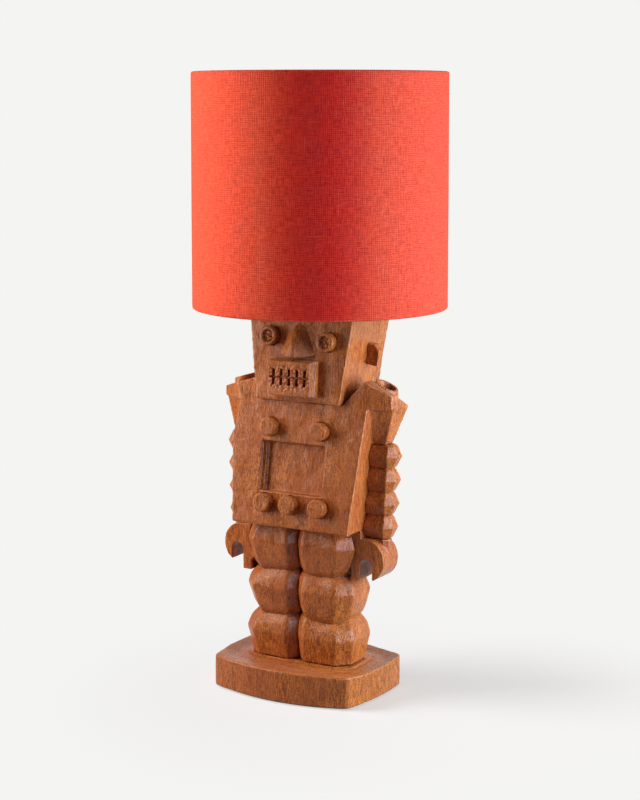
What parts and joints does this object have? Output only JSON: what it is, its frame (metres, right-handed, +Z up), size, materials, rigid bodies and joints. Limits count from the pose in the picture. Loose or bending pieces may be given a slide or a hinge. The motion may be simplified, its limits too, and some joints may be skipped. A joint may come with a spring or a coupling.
{
  "type": "table lamp",
  "caption": "Carved wooden robot table lamp on a plinth, with bellows arms, claw hands and a fabric drum shade on a screw-bulb lampholder.",
  "frame": {"origin": "on the floor, on the common axis of the lampholder, bulb and drum shade", "axes": "+Z up along the lamp's axis; the robot faces -Y and its own left side is +X"},
  "size_m": [0.25, 0.25, 0.6055],
  "materials": {
    "carved_hardwood": "waxed, satin, with carving marks",
    "dowel_beech": "bare",
    "felt": "felt",
    "black_plastic": "matte",
    "ivory_plastic": "glazed",
    "zinc_steel": "zinc plated",
    "contact_brass": "bright",
    "white_metal": "white coated wire and sheet",
    "orange_linen": "plain woven linen",
    "white_liner": "matte film",
    "opal_glass": "opal",
    "bulb_cap_metal": "pressed thread"
  },
  "bodies": {
    "figure": {"base_plinth": "carved_hardwood", "left_leg": "carved_hardwood", "right_leg": "carved_hardwood", "torso": "carved_hardwood", "chest_knob_top_right": "carved_hardwood", "chest_knob_top_left": "carved_hardwood", "chest_knob_low_right": "carved_hardwood", "chest_knob_low_middle": "carved_hardwood", "chest_knob_low_left": "carved_hardwood", "left_shoulder_collar": "carved_hardwood", "right_shoulder_collar": "carved_hardwood", "head": "carved_hardwood", "left_eye": "carved_hardwood", "right_eye": "carved_hardwood", "nose": "carved_hardwood", "mouth": "carved_hardwood", "left_ear": "carved_hardwood", "right_ear": "carved_hardwood", "left_upper_arm": "carved_hardwood", "right_upper_arm": "carved_hardwood", "left_forearm": "carved_hardwood", "right_forearm": "carved_hardwood", "left_hand": "carved_hardwood", "right_hand": "carved_hardwood", "glue_dowels": "dowel_beech", "felt_pad": "felt", "cord_bush": "black_plastic", "lower_washer": "zinc_steel", "threaded_tube": "zinc_steel", "tube_nuts": "zinc_steel", "head_plate": "zinc_steel", "holder_cap": "black_plastic", "holder_core": "ivory_plastic", "holder_sleeve": "black_plastic", "screw_shell": "contact_brass", "centre_contact": "contact_brass", "terminal_screws": "contact_brass", "switch_block": "ivory_plastic", "shade_gallery": "white_metal"},
    "shade": {"shade_fabric": "orange_linen", "shade_liner": "white_liner", "shade_top_ring": "white_metal", "shade_bottom_ring": "white_metal", "shade_seat_ring": "white_metal", "shade_arms": "white_metal"},
    "clamp_ring": {"shade_ring": "black_plastic"},
    "push_bar": {"switch_bar": "black_plastic"},
    "bulb_tip": {"bulb_contact": "contact_brass"},
    "bulb": {"bulb_cap": "bulb_cap_metal", "bulb_glass": "opal_glass"}
  },
  "joints": [
    {"name": "shade_lift", "type": "slide", "parent": "figure", "child": "shade", "axis": [0, 0, 1], "range_m": [0, 0.18]},
    {"name": "shade_ring_turn", "type": "hinge", "parent": "figure", "child": "clamp_ring", "pos_m": [0, 0, 0.431], "axis": [0, 0, 1], "range_deg": [0, 360]},
    {"name": "switch_push", "type": "slide", "parent": "figure", "child": "push_bar", "axis": [1, 0, 0], "range_m": [0, 0.005]},
    {"name": "bulb_lift", "type": "slide", "parent": "figure", "child": "bulb_tip", "axis": [0, 0, 1], "range_m": [0, 0.0161]},
    {"name": "bulb_turn", "type": "hinge", "parent": "bulb_tip", "child": "bulb", "pos_m": [0, 0, 0.46], "axis": [0, 0, 1], "range_deg": [0, 1587]}
  ],
  "couplings": [
    {"joint": "bulb_lift", "follows": "bulb_turn", "m_per_rad": 0.00057757}
  ]
}
